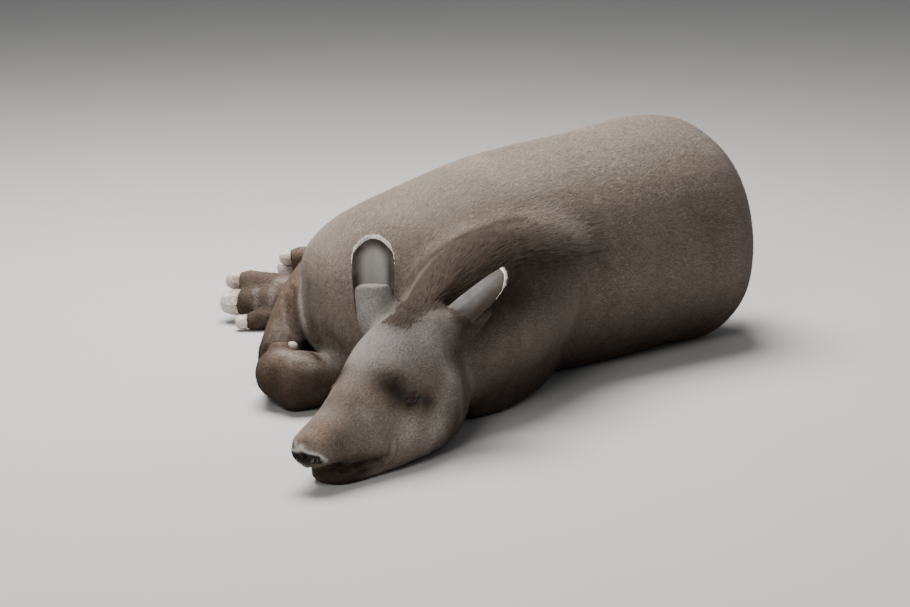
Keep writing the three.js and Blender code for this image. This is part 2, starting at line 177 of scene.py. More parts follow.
class Finish:
    """One material: its shader, its place on the piece, and its nodes"""

    def __init__(self, name, roughness=0.8, sheen=0.0, specular=0.5):
        self.material = bpy.data.materials.new(name)
        self.material.use_nodes = True
        self.tree = self.material.node_tree
        self.shader = self.tree.nodes["Principled BSDF"]
        settings = {
            "Roughness": roughness,
            "Specular IOR Level": specular,
            "Coat Roughness": 0.2,
            "Sheen Weight": sheen,
            "Sheen Roughness": 0.5,
        }
        for socket, value in settings.items():
            self.shader.inputs[socket].default_value = value
        self.place = self.node("TexCoord", "Object")

    def node(self, kind, out, sockets=None, **settings):
        """The value at one output of a new node, made with some settings and sockets"""
        made = self.tree.nodes.new("ShaderNode" + kind)
        for key, value in settings.items():
            setattr(made, key, value)
        for key, value in (sockets or {}).items():
            slot = next(s for s in made.inputs if s.enabled and s.name == key)
            if isinstance(value, Value):
                self.tree.links.new(value.socket, slot)
            elif slot.type == "RGBA":
                slot.default_value = (*value, 1)
            else:
                slot.default_value = value
        return Value(self.tree, next(s for s in made.outputs if s.enabled and s.name == out))

    def stored(self, name, out="Fac"):
        """What the piece's mesh stores under a name"""
        return self.node("Attribute", out, attribute_name=name)

    def stretched(self, scale):
        return self.node("Mapping", "Vector", {"Vector": self.place, "Scale": scale})

    def noise(self, scale, detail=2.0, roughness=0.5, place=None):
        where = place or self.place
        sockets = {"Vector": where, "Scale": scale, "Detail": detail, "Roughness": roughness}
        return self.node("TexNoise", "Fac", sockets)

    def cells(self, scale):
        return self.node("TexVoronoi", "Distance", {"Vector": self.place, "Scale": scale})

    def ranged(self, value, low, high, to_low=0.0, to_high=1.0):
        """A value's range from low to high, made the range from to_low to to_high, smoothly"""
        sockets = {"Value": value, "From Min": low, "From Max": high}
        sockets |= {"To Min": to_low, "To Max": to_high}
        return self.node("MapRange", "Result", sockets, interpolation_type="SMOOTHSTEP")

    def feed(self, socket, value):
        self.tree.links.new(value.socket, self.shader.inputs[socket])

    def bump(self, height, strength, distance):
        sockets = {"Strength": strength, "Distance": distance, "Height": height}
        self.feed("Normal", self.node("Bump", "Normal", sockets))

    def coloured(self, colour, layers):
        """The material, its colour under some layers: each one a share and another colour"""
        for share, tone in layers:
            sockets = {"Factor": share, "A": colour, "B": tone}
            colour = self.node("Mix", "Result", sockets, data_type="RGBA")
        self.feed("Base Color", colour)
        return self.material


COAT_MID = (0.153, 0.118, 0.097)
COAT_LIGHT = (0.217, 0.178, 0.151)
COAT_DARK = (0.039, 0.027, 0.020)
COAT_PALE = (0.43, 0.39, 0.34)
COAT_COOL = (0.185, 0.180, 0.180)
COAT_WARM = (0.150, 0.092, 0.061)
COAT_ROUGHNESS = 0.78
FLECK_LIGHT = (0.36, 0.315, 0.265)
FLECK_DARK = (0.026, 0.019, 0.014)
TUFT_LIGHT = (0.34, 0.295, 0.25)
TUFT_DARK = (0.03, 0.022, 0.017)
BARE_SKIN_AND_SHADE = (0.011, 0.010, 0.010)
NOSE_SPECK = (0.52, 0.52, 0.47)
EAR_MID = (0.058, 0.053, 0.051)
EAR_LIGHT = (0.112, 0.108, 0.106)
EAR_INNER = (0.38, 0.36, 0.335)
EAR_VEIN = (0.2, 0.18, 0.165)
EAR_BROWN_AND_SHADE = (0.042, 0.029, 0.022)
EAR_RIM = (0.74, 0.71, 0.66)
RIM_HAIR_DARK = (0.42, 0.38, 0.33)
RIM_HAIR_LIGHT = (0.86, 0.83, 0.78)
RIM_HAIR_DUST = (0.3, 0.25, 0.2)
HORN_MID = (0.36, 0.29, 0.24)
HORN_LIGHT = (0.62, 0.57, 0.52)
HORN_ROOT = (0.15, 0.10, 0.075)
HORN_GRIME = (0.20, 0.14, 0.10)
EYE_DARK = (0.006, 0.004, 0.003)
EYE_BROWN = (0.03, 0.016, 0.009)
FLOOR_MID = (0.42, 0.41, 0.395)
FLOOR_LIGHT = (0.45, 0.44, 0.425)


def coat_finish(name, tuft):
    """The coat: grey-brown with a fine fleck, coloured by the piece's own markings, some of them
    painted shade and painted highlight
    """
    finish = Finish(name, roughness=COAT_ROUGHNESS, sheen=0.012, specular=0.08)
    marks = finish.stored("marks", "Color")
    bare_and_shade = finish.stored("marks", "Alpha")
    warm, nose, wet = (finish.stored(tone) for tone in ("warm", "nose", "wet"))
    dark, pale, cool = (
        finish.node("SeparateColor", way, {"Color": marks}) for way in ("Red", "Green", "Blue")
    )
    broad = finish.noise(4, 3, 0.55)
    patch = finish.noise(38, 2, 0.6)
    fleck = finish.noise(250, 2, 0.6)
    lift = 1 - dark * 0.92
    layers = [
        (finish.ranged(broad, 0.3, 0.75), COAT_LIGHT),
        (finish.ranged(patch, 0.35, 0.8) * 0.12, COAT_DARK),
        (warm * 0.8, COAT_WARM),
        (cool * finish.ranged(patch, 0.0, 0.6, 0.8, 1.0), COAT_COOL),
        ((pale * finish.ranged(fleck, 0.3, 0.6, 0.7, 1.15)).up_to(1.0), COAT_PALE),
        ((dark * finish.ranged(patch, 0.1, 0.7, 0.85, 1.1)).up_to(1.0), COAT_DARK),
        (finish.ranged(fleck, 0.50, 0.68) * lift * 0.24, FLECK_LIGHT),
        (finish.ranged(fleck, 0.48, 0.32) * 0.22, FLECK_DARK),
    ]
    if tuft:
        own = finish.stored("shade")
        layers += [
            (finish.ranged(own, 0.6, 1.0) * lift * 0.28, TUFT_LIGHT),
            (finish.ranged(own, 0.45, 0.0) * 0.32, TUFT_DARK),
        ]
    else:
        speck = finish.ranged(finish.cells(620), 0.62, 0.32)
        layers += [
            # near-black bare skin, partly painted shade in the nostrils' openings and the eye's
            # socket hollow
            (bare_and_shade, BARE_SKIN_AND_SHADE),
            (nose * finish.ranged(speck, 0.0, 1.0, 0.35, 1.0), NOSE_SPECK),
        ]
        finish.feed("Roughness", finish.ranged(bare_and_shade, 0.0, 1.0, COAT_ROUGHNESS, 0.5))
        finish.feed("Coat Weight", wet * 0.2)
        grain = finish.noise(340, 3, 0.7) + finish.cells(210) * 0.5 + finish.noise(60, 3, 0.6)
        finish.bump(grain, 0.3, 0.0020)
    return finish.coloured(COAT_MID, layers)


def ear_finish():
    """Thin skin of the ear: blue-grey, browner and darker towards its edges, partly painted shade of
    the folded edges, with a ragged white rim
    """
    finish = Finish("ear_skin", roughness=0.66, sheen=0.08, specular=0.2)
    rim, inner, edge = (finish.stored(part) for part in ("rim", "inner", "edge"))
    broad = finish.noise(26, 3, 0.6)
    veins = finish.ranged(finish.noise(90, 3, 0.6, finish.stretched((3, 3, 0.6))), 0.5, 0.8)
    layers = [
        (finish.ranged(broad, 0.3, 0.75), EAR_LIGHT),
        (inner * 0.85, EAR_INNER),
        (inner * veins * 0.5, EAR_VEIN),
        # browner skin towards the edges, partly painted shade of the folded edges
        (edge * finish.ranged(broad, 0.2, 0.6, 0.75, 1.0), EAR_BROWN_AND_SHADE),
        (finish.ranged(rim + finish.noise(170, 3, 0.65) * 0.7, 0.80, 0.94), EAR_RIM),
    ]
    finish.bump(finish.noise(420, 3, 0.7) + finish.noise(70, 2, 0.5), 0.3, 0.0015)
    return finish.coloured(EAR_MID, layers)


def white_hair_finish():
    """The hair of the ears' rims, each of its own shade"""
    finish = Finish("white_hair", roughness=0.6, sheen=0.1)
    layers = [
        (finish.stored("shade"), RIM_HAIR_LIGHT),
        (finish.ranged(finish.noise(300), 0.45, 0.7) * 0.3, RIM_HAIR_DUST),
    ]
    return finish.coloured(RIM_HAIR_DARK, layers)


def horn_finish():
    """Worn hoof horn: pale, ringed across the toe, dusty and darker at the root"""
    finish = Finish("hoof_horn", roughness=0.55)
    streak = finish.noise(120, 4, 0.6, finish.stretched((1, 1, 2.5)))
    grime = finish.ranged(finish.noise(45, 4, 0.65), 0.5, 0.75)
    layers = [
        (finish.ranged(streak, 0.3, 0.7), HORN_LIGHT),
        (finish.ranged(finish.stored("tip"), 0.55, 0.15) * 0.8, HORN_ROOT),
        (grime * 0.45, HORN_GRIME),
    ]
    finish.feed("Roughness", finish.ranged(streak, 0.2, 0.8, 0.45, 0.75))
    finish.bump(streak + finish.noise(500, 2, 0.5) * 0.4, 0.4, 0.0012)
    return finish.coloured(HORN_MID, layers)


def eye_finish():
    finish = Finish("wet_eye", roughness=0.2, specular=0.25)
    brown = finish.ranged(finish.noise(90, 3), 0.3, 0.7)
    return finish.coloured(EYE_DARK, [(brown, EYE_BROWN)])


def floor_finish():
    finish = Finish("pale_floor", roughness=0.85)
    return finish.coloured(FLOOR_MID, [(finish.noise(1.5, 2), FLOOR_LIGHT)])


def read(items, key, size, kind=float):
    """What each item of a mesh holds under a key, in rows of one size"""
    values = np.empty(len(items) * size, kind)
    items.foreach_get(key, values)
    return values.reshape(-1, size)


def points_of(mesh):
    return read(mesh.vertices, "co", 3)


def normals_of(mesh):
    return read(mesh.vertices, "normal", 3)


def bm_points(bm):
    return np.array([v.co[:] for v in bm.verts])


def place_verts(bm, points):
    for vert, point in zip(bm.verts, points):
        vert.co = point


def rounded(mesh):
    """Smooth shading over a whole mesh"""
    mesh.polygons.foreach_set("use_smooth", np.ones(len(mesh.polygons), bool))


def chosen(parts, mask):
    """The vertices or faces that a mask marks"""
    parts.ensure_lookup_table()
    return [parts[i] for i in np.nonzero(mask)[0]]


def unit(vectors):
    return vectors / np.maximum(np.linalg.norm(vectors, axis=-1, keepdims=True), 1e-9)


def ramp(values, low, high):
    """0 below low, 1 above high, and smooth between"""
    share = np.clip((values - low) / (high - low), 0, 1)
    return share * share * (3 - 2 * share)


def apart(points, place):
    """How far each point is from a place"""
    return np.linalg.norm(points - np.array(place[:]), axis=1)


def from_nearest(points, places):
    """How far each point is from the nearest of some places"""
    gap = np.full(len(points), FAR)
    for place in places:
        gap = np.minimum(gap, apart(points, place))
    return gap


def along(points, path):
    """How far each point is from a path, and where on it, from 0 to 1, its nearest place is"""
    path = np.array([tuple(p) for p in path], float)
    steps = np.linalg.norm(np.diff(path, axis=0), axis=1)
    starts = np.concatenate([[0], np.cumsum(steps)])
    best = np.full(len(points), FAR)
    share = np.zeros(len(points))
    for a, b, start, step in zip(path[:-1], path[1:], starts, steps):
        way = (b - a) / step
        t = np.clip((points - a) @ way, 0, step)
        distance = np.linalg.norm(points - a - t[:, None] * way, axis=1)
        nearer = distance < best
        best = np.where(nearer, distance, best)
        share = np.where(nearer, (start + t) / starts[-1], share)
    return best, share


def smooth_path(path, steps=6):
    """A path of many short steps through a few points"""
    points = [Vector(p) for p in path]
    points = [points[0], *points, points[-1]]
    made = []
    for i in range(1, len(points) - 2):
        p0, p1, p2, p3 = points[i - 1 : i + 3]
        for k in range(steps):
            t = k / steps
            place = 2 * p1 + (p2 - p0) * t
            place += (2 * p0 - 5 * p1 + 4 * p2 - p3) * t**2
            place += (3 * p1 - p0 - 3 * p2 + p3) * t**3
            made.append(0.5 * place)
    return [*made, points[-1]]


def node_copy(name, push=0.0):
    """A node's surface with its loose triangles joined, pushed out a little"""
    bm = bmesh.new()
    bm.from_mesh(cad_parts[name].data)
    bmesh.ops.remove_doubles(bm, verts=bm.verts, dist=1e-5)
    bmesh.ops.recalc_face_normals(bm, faces=bm.faces)
    bm.normal_update()
    for vert in bm.verts:
        vert.co += vert.normal * push
    return bm


def remeshed(bm, voxel):
    """The outer surface of all that is in bm, in squares of one size, its largest piece alone"""
    scratch = shown("scratch", mesh_of(bm, "scratch"))
    modifier = scratch.modifiers.new("volume", "REMESH")
    modifier.mode = "VOXEL"
    modifier.voxel_size = voxel
    graph = bpy.context.evaluated_depsgraph_get()
    mesh = bpy.data.meshes.new_from_object(scratch.evaluated_get(graph))
    bpy.data.objects.remove(scratch)
    made = bmesh.new()
    made.from_mesh(mesh)
    keep_largest(made)
    return made


def keep_largest(bm):
    """Leaves only the largest group of joined vertices"""
    left = set(bm.verts)
    groups = []
    while left:
        edge = [left.pop()]
        group = [*edge]
        while edge:
            found = [e.other_vert(v) for v in edge for e in v.link_edges]
            edge = list({v for v in found if v in left})
            left.difference_update(edge)
            group.extend(edge)
        groups.append(group)
    groups.sort(key=len)
    for group in groups[:-1]:
        bmesh.ops.delete(bm, geom=group, context="VERTS")


def smoothed(bm, verts, rounds, factor=0.5):
    axes = {"use_axis_x": True, "use_axis_y": True, "use_axis_z": True}
    for _ in range(rounds):
        bmesh.ops.smooth_vert(bm, verts=verts, factor=factor, **axes)


# Each ear: its leaf's root and tip, the way its mouth faces, the flesh in its cup as its radius
# low and high and its length, and how deep its leaf is, as a share of the solid's
EARS = {
    "ear_right": {
        "root": Vector((-0.711, -0.172, 0.272)),
        "tip": Vector((-0.688, -0.148, 0.404)),
        "mouth": Vector((-0.75, -0.62, 0.10)),
        "flesh": (0.032, 0.034, 0.054),
        "depth": 1.0,
    },
    "ear_left": {
        "root": Vector((-0.648, -0.331, 0.260)),
        "tip": Vector((-0.562, -0.384, 0.352)),
        "mouth": Vector((0.82, -0.46, -0.28)),
        "flesh": (0.042, 0.024, 0.080),
        "depth": 1.25,
    },
}
EAR_VOXEL = 0.0017
EAR_JOIN = 0.0004  # as JOIN, for an ear's leaf
EAR_MARGIN = 0.004  # as SKIN_MARGIN, for an ear's leaf
EAR_SUNK = 0.022  # how far the leaf starts below its root
EAR_HALF = 0.044  # half the leaf's breadth
EAR_BACK = 0.6  # how far behind its root the leaf lies, in half breadths
EAR_DROP = 0.014  # how far the leaf's lowest part is sunk into the head
EAR_STEPS = 24
EAR_BASE_SUNK = 0.014  # how far the flesh starts below the root
EAR_BASE_BACK = 0.025  # and how far behind its own radius
EAR_BASE_LEAN = 0.014  # how much further ahead it ends
EAR_BASE_WIDTH = 1.28  # how much broader it is than deep


def ear_axes(place):
    """Up the ear, across it and out of its mouth"""
    up = (place["tip"] - place["root"]).normalized()
    front = (place["mouth"] - up * place["mouth"].dot(up)).normalized()
    return up, up.cross(front), front


def ear_base(place):
    """The flesh that closes the lower part of an ear's cup"""
    up, across, front = ear_axes(place)
    low, top, length = place["flesh"]
    bm = bmesh.new()
    bmesh.ops.create_cone(bm, cap_ends=True, segments=24, radius1=1, radius2=1, depth=1)
    for vert in bm.verts:
        share = vert.co.z + 0.5
        climb = length * share * (1 + 0.1 * vert.co.y) - EAR_BASE_SUNK
        ahead = low - EAR_BASE_BACK + EAR_BASE_LEAN * share
        centre = place["root"] + up * climb + front * ahead
        radius = low + (top - low) * share
        wide = vert.co.x * radius * EAR_BASE_WIDTH
        vert.co = centre + across * wide + front * (vert.co.y * radius)
    return bm


def flesh_form():
    """All the flesh as one surface, its joins melted and the locks of the solids smoothed away"""
    whole = bmesh.new()
    trees = {}
    for name in FLESH:
        copy = node_copy(name, JOIN)
        trees[name] = BVHTree.FromBMesh(copy)
        whole.from_mesh(mesh_of(copy, name))
    for place in EARS.values():
        whole.from_mesh(mesh_of(ear_base(place), "ear_base"))
    bm = remeshed(whole, VOXEL)
    far = 0.2
    reach = np.full((len(bm.verts), len(FLESH)), far)
    for k, name in enumerate(FLESH):
        for i, vert in enumerate(bm.verts):
            gap = trees[name].find_nearest(vert.co, far)[3]
            if gap is not None:
                reach[i, k] = gap
    points = bm_points(bm)
    owner = np.argmin(reach, axis=1)
    on_torso, on_neck, on_head = (owner == FLESH.index(n) for n in ("torso", "neck", "head"))
    body = on_torso | on_neck
    by_join = np.sort(reach, axis=1)[:, 1] < 0.035
    seam = by_join & ~on_head & (reach[:, FLESH.index("head")] > 0.03)
    locks = (along(points, CREST)[0] < 0.13) & on_neck & (points[:, 2] > 0.2)
    smoothed(bm, bm.verts, 2)
    for mask, rounds in ((locks, 40), (seam, 36), (body | on_head, 5), (body, 8)):
        smoothed(bm, chosen(bm.verts, mask), rounds)
    for place in EARS.values():
        by_ear = apart(bm_points(bm), place["root"]) < 0.090
        smoothed(bm, chosen(bm.verts, by_ear & on_head), 8)
    return bm, trees


def lay_out(piece, margin):
    """A map named OFBake, with the piece's surface laid out flat by its own shape"""
    piece.data.uv_layers.new(name="OFBake")
    bpy.context.view_layer.objects.active = piece
    piece.select_set(True)
    bpy.ops.object.mode_set(mode="EDIT")
    bpy.ops.mesh.select_all(action="SELECT")
    bpy.ops.uv.smart_project(angle_limit=UNWRAP_ANGLE, island_margin=margin)
    bpy.ops.object.mode_set(mode="OBJECT")


def unwrapped(bm):
    """The same surface with its map"""
    skin = shown("unwrap", mesh_of(bm, "unwrap"))
    lay_out(skin, SKIN_MARGIN)
    made = bmesh.new()
    made.from_mesh(skin.data)
    bpy.data.objects.remove(skin)
    return made


def finer(bm, inside):
    """One subdivision of the faces whose middles inside() picks"""
    centres = np.array([f.calc_center_median()[:] for f in bm.faces])
    edges = list({e for f in chosen(bm.faces, inside(centres)) for e in f.edges})
    bmesh.ops.subdivide_edges(bm, edges=edges, cuts=1, use_grid_fill=True)
    smoothed(bm, chosen(bm.verts, inside(bm_points(bm))), 2)


# The lines of the face, in the head's own frame, on its left side
SLIT = [(0.161, 0.090, 0.141), (0.172, 0.094, 0.138), (0.186, 0.094, 0.134), (0.200, 0.088, 0.131)]
UPPER_LID = [
    (0.156, 0.090, 0.149),
    (0.171, 0.094, 0.151),
    (0.188, 0.092, 0.147),
    (0.204, 0.084, 0.139),
]
LOWER_LID = [
    (0.162, 0.094, 0.130),
    (0.176, 0.096, 0.124),
    (0.192, 0.092, 0.122),
    (0.206, 0.086, 0.125),
]
MOUTH = [
    (0.402, 0.000, 0.040),
    (0.392, 0.026, 0.039),
    (0.350, 0.046, 0.037),
    (0.310, 0.058, 0.037),
    (0.275, 0.067, 0.040),
    (0.256, 0.072, 0.037),
]
MOUTH_FOLD = [
    (0.262, 0.072, 0.034),
    (0.250, 0.076, 0.042),
    (0.244, 0.080, 0.056),
    (0.250, 0.082, 0.068),
]
CHIN_FOLD = [(0.330, 0.050, 0.018), (0.290, 0.062, 0.016), (0.250, 0.074, 0.014)]

# How wide and deep each is, how high its lips are, and over what share its ends fade
FACE_GROOVES = [
    (SLIT, 0.0021, 0.0036, 0.0, 0.15),
    (UPPER_LID, 0.0032, 0.0024, 0.0, 0.15),
    (LOWER_LID, 0.0034, 0.0018, 0.0, 0.15),
    (MOUTH, 0.0042, 0.0095, 0.0026, 0.02),
    (MOUTH_FOLD, 0.0050, 0.0045, 0.0022, 0.15),
    (CHIN_FOLD, 0.0050, 0.0024, 0.0012, 0.15),
]
# Swells and hollows of the same side: the place, how broad and how high
FACE_SWELLS = [
    (0.182, 0.092, 0.136, 0.020, 0.0056),
    (0.210, 0.080, 0.160, 0.020, -0.0065),
    (0.185, 0.088, 0.180, 0.020, 0.0035),
    (0.150, 0.100, 0.152, 0.016, -0.0030),
    (0.226, 0.084, 0.128, 0.015, -0.0035),
    (0.272, 0.074, 0.078, 0.024, 0.0035),
    (0.335, 0.050, 0.058, 0.020, 0.0024),
    (0.256, 0.076, 0.036, 0.008, -0.0035),
]

# Lines of the near side of the nose, by the photograph's pixels they pass through
NOSE_ASIDE = -0.009
NOSTRIL = [(300, 456), (306, 459), (313, 460), (320, 461)]
NOSE_RIM = [(300, 446), (302, 450), (309, 453), (316, 455), (322, 457), (326, 461)]
NOSE_PATCH = [(294, 437), (295, 441), (296, 446)]
NOSE_EDGE = [(293, 450), (296, 455), (300, 460), (306, 464)]
NOSE_TIP = (299, 440)

# Folds of the neck, shoulder and chest, by the same pixels, with how wide and deep they are
FOLDS = [
    ([(520, 318), (524, 345), (512, 376), (498, 398)], 0.012, 0.004),
    ([(584, 268), (588, 300), (576, 335), (560, 358)], 0.024, 0.007),
    ([(318, 300), (322, 322), (332, 344)], 0.014, 0.003),
    ([(291, 282), (291, 305), (295, 325), (303, 343)], 0.009, 0.012),
    ([(296, 346), (304, 354), (312, 360)], 0.006, 0.004),
]
CHEST_RIM = [(301, 278), (301, 300), (304, 322), (311, 340), (320, 352), (331, 363)]


def seen(tree, pixels):
    """Where the camera sees the skin at each pixel, but not what it sees past an edge, far behind"""
    hits = [tree.ray_cast(CAMERA_PLACE, sight(pixel))[0] for pixel in pixels]
    hits = [hit for hit in hits if hit is not None]
    near = min(((hit - CAMERA_PLACE).length for hit in hits), default=0)
    return [hit for hit in hits if (hit - CAMERA_PLACE).length < near + BEHIND]


def both(path):
    """A line of the left side of the head and its mirror on the right, in the part's frame"""
    return [[head(s, side * w, h) for s, w, h in path] for side in (1, -1)]


def mirrored(path, middle=NOSE_ASIDE):
    """The same line on the other side of the head's middle, which bends aside at the nose"""
    local = [HEAD_FRAME.inverted() @ place for place in path]
    return [head(place.x, 2 * middle - place.y, place.z) for place in local]


class Clay:
    """The skin's points while folds are pressed into them"""

    def __init__(self, bm):
        bm.normal_update()
        self.bm = bm
        self.points = bm_points(bm)
        self.normals = np.array([v.normal[:] for v in bm.verts])
        self.move = np.zeros(len(self.points))
        self.tree = BVHTree.FromBMesh(bm)

    def on_skin(self, path):
        return [self.tree.find_nearest(p)[0] for p in smooth_path(path)]

    def groove(self, path, width, depth, lips=0.0, fade=0.15):
        """A groove, or a ridge where depth is below 0, with raised lips beside it"""
        distance, share = along(self.points, self.on_skin(path))
        ends = ramp(share, 0, fade) * ramp(1 - share, 0, fade)
        self.move -= depth * ends * np.exp(-((distance / width) ** 2))
        self.move += lips * ends * np.exp(-(((distance - 2.3 * width) / width) ** 2))

    def swell(self, centre, radius, height):
        self.move += height * np.exp(-((apart(self.points, centre) / radius) ** 2))

    def settle(self):
        place_verts(self.bm, self.points + self.normals * self.move[:, None])
        self.bm.normal_update()


def shape_face(bm):
    clay = Clay(bm)
    for path, *shape in FACE_GROOVES:
        for line in both(path):
            clay.groove(line, *shape)
    for side in (1, -1):
        for s, w, h, radius, height in FACE_SWELLS:
            clay.swell(head(s, side * w, h), radius, height)
    for pixels, width, depth in ((NOSTRIL, 0.0072, 0.0095), (NOSE_RIM, 0.0065, -0.0022)):
        near = seen(clay.tree, pixels)
        for line in (near, mirrored(near)):
            clay.groove(line, width, depth, fade=0.08)
    for tip in seen(clay.tree, [NOSE_TIP]):
        clay.swell(tip, 0.018, 0.007)
    clay.settle()


def shape_body(bm):
    clay = Clay(bm)
    for pixels, width, depth in FOLDS:
        clay.groove(seen(clay.tree, pixels), width, depth, depth * 0.4)
    clay.groove(seen(clay.tree, CHEST_RIM), 0.007, -0.0045)
    clay.settle()


def skin_form():
    """The skin, with its finer parts and folds, and a tree of each part of its flesh"""
    bm, trees = flesh_form()
    bm = unwrapped(bm)
    middle, snout = head(0.20, 0, 0.12), head(0.41, 0, 0.075)
    features = [p for path in (SLIT, MOUTH, MOUTH_FOLD) for line in both(path) for p in line]

    def on_head(points):
        return (apart(points, middle) < 0.36) & (points[:, 0] < -0.60)

    def on_features(points):
        return (from_nearest(points, features) < 0.019) | (apart(points, snout) < 0.055)

    finer(bm, on_head)
    shape_body(bm)
    finer(bm, on_features)
    shape_face(bm)
    smoothed(bm, bm.verts, 1, 0.35)
    bm.normal_update()
    hooves = [
        (np.array(low[:]) + np.array(high[:])) / 2 for low, high in map(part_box, hoof_names())
    ]
    to_hoof = from_nearest(bm_points(bm), hooves)
    depths = COAT_DEPTH * ramp(to_hoof, 0.04, 0.13) - TOE_PUSH * ramp(-to_hoof, -0.07, -0.04)
    for vert, depth in zip(bm.verts, depths):
        vert.co -= vert.normal * depth
        vert.co.z = max(vert.co.z, SKIN_FLOOR)
    return bm, trees


# Markings of the head, on both sides, some of them painted shade and painted highlight: which tone,
# at which pixel of the photograph, how large and how strong
TONES = 7
DARK, PALE, COOL, BARE_AND_SHADE, WARM, NOSE, WET = range(TONES)
FACE_MARKS = [
    # the dark skin round the eye, partly painted shade in the socket's hollow
    (DARK, (391, 388), 0.030, 1.00),
    (DARK, (380, 378), 0.022, 0.55),
    (DARK, (402, 397), 0.024, 1.00),
    (DARK, (413, 398), 0.024, 1.00),
    (DARK, (426, 402), 0.022, 0.90),
    (DARK, (436, 445), 0.022, 0.40),
    # the dark lips and chin, partly painted shade under the overhanging snout
    (DARK, (358, 466), 0.032, 1.00),
    (DARK, (330, 469), 0.034, 1.00),
    (DARK, (345, 478), 0.040, 1.00),
    (DARK, (340, 446), 0.030, 0.35),
    (DARK, (462, 338), 0.028, 0.40),
    # painted shadow in the gap between the foreleg and the chest
    (DARK, (312, 352), 0.020, 1.00),
    # the lids' bare dark skin, partly painted shade in the socket's hollow
    (BARE_AND_SHADE, (413, 397), 0.013, 1.00),
    (BARE_AND_SHADE, (402, 396), 0.015, 0.95),
    (BARE_AND_SHADE, (393, 388), 0.016, 0.75),
    (BARE_AND_SHADE, (425, 400), 0.013, 0.60),
    (BARE_AND_SHADE, (336, 470), 0.018, 0.80),
    (PALE, (408, 432), 0.030, 0.60),
    (PALE, (440, 426), 0.042, 0.85),
    (PALE, (450, 400), 0.032, 0.60),
    (PALE, (366, 414), 0.018, 0.30),
    (PALE, (382, 459), 0.008, 0.80),
    (PALE, (392, 366), 0.030, 0.22),
    # pale hair on the jaw's rear edge, partly a painted highlight on the lit edge
    (PALE, (452, 378), 0.025, 0.95),
    (PALE, (457, 398), 0.016, 0.50),
    (PALE, (376, 305), 0.045, 0.45),
    # more of the dark round the eye, partly painted shade in the socket's hollow
    (DARK, (396, 384), 0.034, 0.60),
    (DARK, (430, 399), 0.022, 0.60),
    (DARK, (330, 400), 0.045, 0.52),
    (DARK, (352, 380), 0.040, 0.15),
    (DARK, (338, 428), 0.035, 0.20),
    (DARK, (436, 321), 0.034, 0.62),
    # the dark chin, partly painted shade under the overhanging snout
    (DARK, (350, 482), 0.030, 0.80),
    (COOL, (396, 345), 0.050, 0.75),
    (COOL, (440, 330), 0.060, 0.90),
    (COOL, (458, 312), 0.050, 0.90),
    (COOL, (370, 310), 0.060, 0.95),
    (COOL, (372, 362), 0.040, 0.35),
    (WARM, (307, 428), 0.032, 0.80),
    (WARM, (372, 395), 0.030, 0.40),
]
# Longer markings, some of them painted shade and painted highlight, on the side that the photograph
# shows
BODY_MARKS = [
    # a pale fringe along the chest's rim, partly a painted highlight on its lit ridge
    (PALE, [(301, 280), (301, 302), (304, 322), (311, 340), (320, 352), (331, 363)], 0.0085, 1.0),
    (PALE, [(317, 344), (326, 354), (334, 362)], 0.024, 1.05),
    # painted shadow in the gap between the foreleg and the chest
    (DARK, [(304, 346), (312, 353), (318, 358)], 0.010, 1.00),
    (DARK, [(411, 283), (424, 265), (450, 244), (486, 228), (518, 220)], 0.022, 0.85),
    # pale hair on the jaw's rear edge, partly a painted highlight on the lit edge
    (PALE, [(466, 350), (468, 375), (470, 400)], 0.016, 0.40),
    (DARK, [(309, 284), (309, 305), (313, 322)], 0.012, 0.40),
    # painted shade in the crease beside the chest's rim
    (DARK, [(290, 296), (291, 310), (296, 330), (303, 344)], 0.014, 0.90),
    # pale hair on the jaw's rear edge, partly a painted highlight on the lit edge
    (PALE, [(457, 374), (461, 396), (461, 418), (453, 441)], 0.0100, 0.45),
    (PALE, [(256, 290), (257, 303)], 0.009, 1.0),
    (PALE, [(273, 289), (271, 300)], 0.011, 1.0),
    (PALE, [(278, 281), (287, 279)], 0.010, 1.0),
    (WARM, [(270, 372), (290, 360), (312, 368)], 0.050, 0.90),
    # painted shade on the lower side of the folded foreleg's round carpus
    (DARK, [(270, 395), (292, 402), (318, 400)], 0.045, 0.95),
    (PALE, [(282, 352), (296, 358), (310, 364)], 0.020, 0.62),
]
# The forelock runs from the crest down between the ears, in the head's own frame
FORELOCK = [(0.105, 0.010, 0.268), (0.050, 0.004, 0.284), (-0.020, 0.0, 0.284)]


def add_tone(tones, tone, strength):
    """One tone laid over what is there of it"""
    tones[:, tone] = 1 - (1 - tones[:, tone]) * (1 - np.clip(strength, 0, 1))


